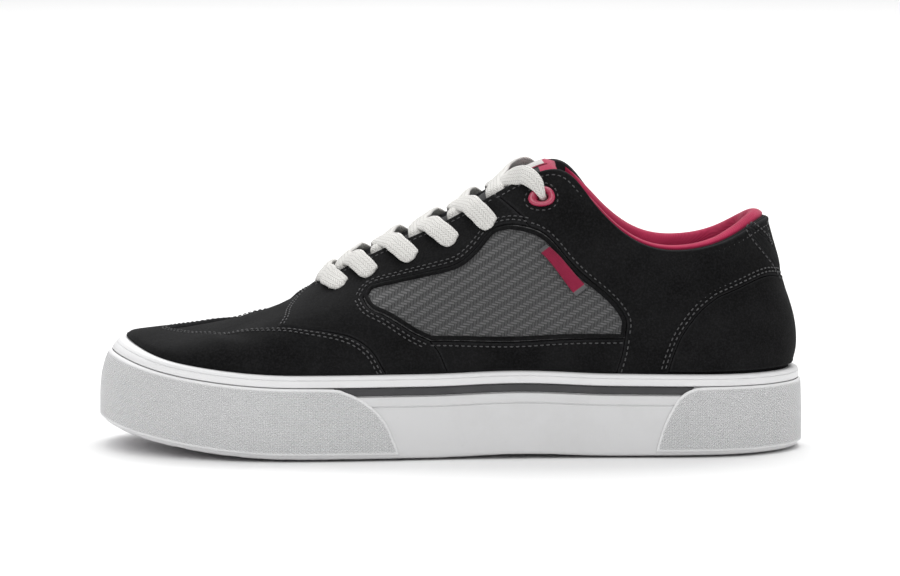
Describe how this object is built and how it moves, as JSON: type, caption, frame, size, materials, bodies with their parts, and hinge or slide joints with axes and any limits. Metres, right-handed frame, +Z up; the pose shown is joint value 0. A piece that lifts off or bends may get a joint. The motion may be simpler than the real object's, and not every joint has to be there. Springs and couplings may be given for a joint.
{
  "type": "skateboarding shoe",
  "caption": "Low-cut left skateboarding shoe with a cup sole, suede overlays, woven side panels, padded collar and flat criss-cross lace.",
  "frame": {"origin": "on the ground under the middle of the shoe's box", "axes": "+X towards the heel along the shoe's length, +Y towards the inner (medial) side, +Z up from the ground"},
  "size_m": [0.3, 0.1118, 0.1228],
  "materials": {
    "white_rubber": "smooth matt off-white moulded rubber",
    "grip_rubber": "matt off-white rubber with a fine diagonal knurl",
    "tread_rubber": "matt off-white tread rubber",
    "charcoal_rubber": "charcoal rubber strip",
    "black_suede": "black suede with a short nap",
    "grey_weave": "dark grey basket weave",
    "crimson_textile": "crimson textile lining",
    "crimson_gloss": "glossy crimson",
    "pale_textile": "pale plain woven label",
    "lace_textile": "off-white flat braid",
    "insole_textile": "dark knitted foot bed"
  },
  "bodies": {
    "root": {"outsole": "tread_rubber", "sidewall": "white_rubber", "foxing_tape": "white_rubber", "stripe_lateral": "charcoal_rubber", "stripe_medial": "charcoal_rubber", "toe_bumper": "grip_rubber", "heel_bumper": "grip_rubber", "insole": "insole_textile", "upper": "black_suede", "toe_cap": "black_suede", "eyestay": "black_suede", "side_panel_lateral": "grey_weave", "side_panel_medial": "grey_weave", "lower_band_lateral": "black_suede", "lower_band_medial": "black_suede", "rear_quarter_lateral": "black_suede", "rear_quarter_medial": "black_suede", "heel_counter": "black_suede", "heel_tab": "black_suede", "collar_lining": "crimson_textile", "tongue": "black_suede", "tongue_label": "pale_textile", "lace_bar": "lace_textile", "lace_cross_1": "lace_textile", "lace_cross_2": "lace_textile", "lace_cross_3": "lace_textile", "lace_cross_4": "lace_textile", "lace_cross_5": "lace_textile", "eyelet_lateral": "crimson_gloss", "eyelet_medial": "crimson_gloss", "side_tag": "crimson_textile"}
  },
  "joints": []
}
